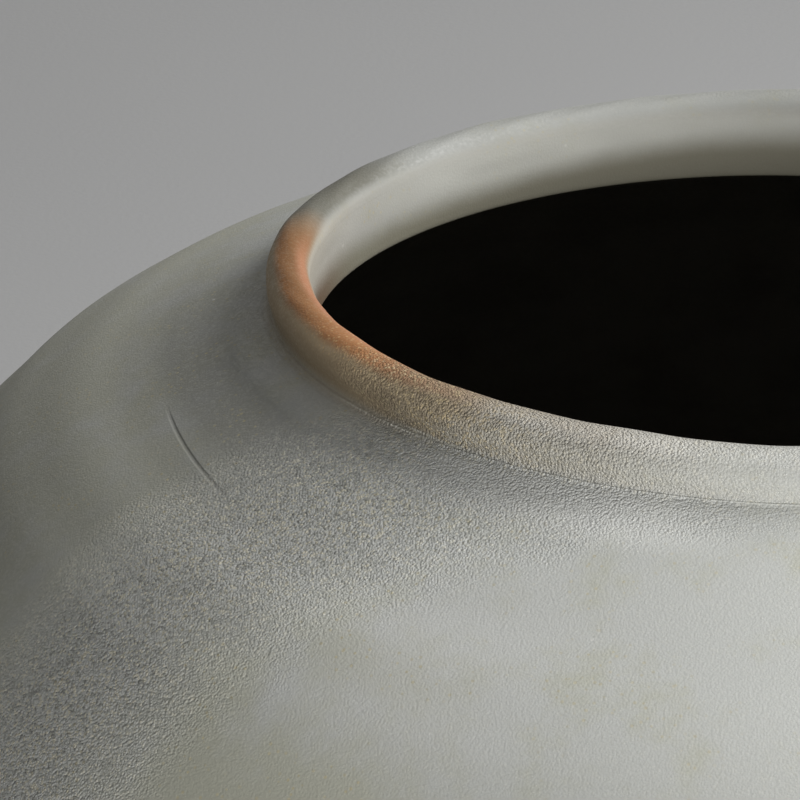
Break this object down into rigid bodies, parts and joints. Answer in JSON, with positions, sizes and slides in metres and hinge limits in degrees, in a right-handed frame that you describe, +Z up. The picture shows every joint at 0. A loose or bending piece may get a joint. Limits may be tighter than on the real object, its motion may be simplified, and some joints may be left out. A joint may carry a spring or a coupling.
{
  "type": "moon jar",
  "caption": "Large round glazed stoneware jar of two bowls luted at the belly, with a low collar round its open mouth and a narrow foot ring.",
  "frame": {"origin": "on the jar's axis, at the level of the surface that its foot ring stands on", "axes": "+Z up along the jar's axis, towards its mouth; the jar is the same all round, and the side seen in the picture faces -Y"},
  "size_m": [0.4099, 0.41, 0.3911],
  "materials": {
    "clay": "bare fired stoneware, rough, warm grey-brown",
    "slip": "fired joining slip, fine and matte",
    "outer_glaze": "matte grey celadon with a fine sugary grain, toasted orange-brown on part of the lip",
    "inner_glaze": "thin wash of glaze, dark olive brown, matte and smoother than outside",
    "foot_glaze": "matte grey celadon"
  },
  "bodies": {
    "root": {"lower_bowl": "clay", "upper_bowl": "clay", "mouth_collar": "clay", "foot_ring": "clay", "belly_coil": "clay", "belly_slip": "slip", "collar_slip": "slip", "foot_slip": "slip", "outer_glaze": "outer_glaze", "inner_glaze": "inner_glaze", "foot_glaze": "foot_glaze"}
  },
  "joints": []
}
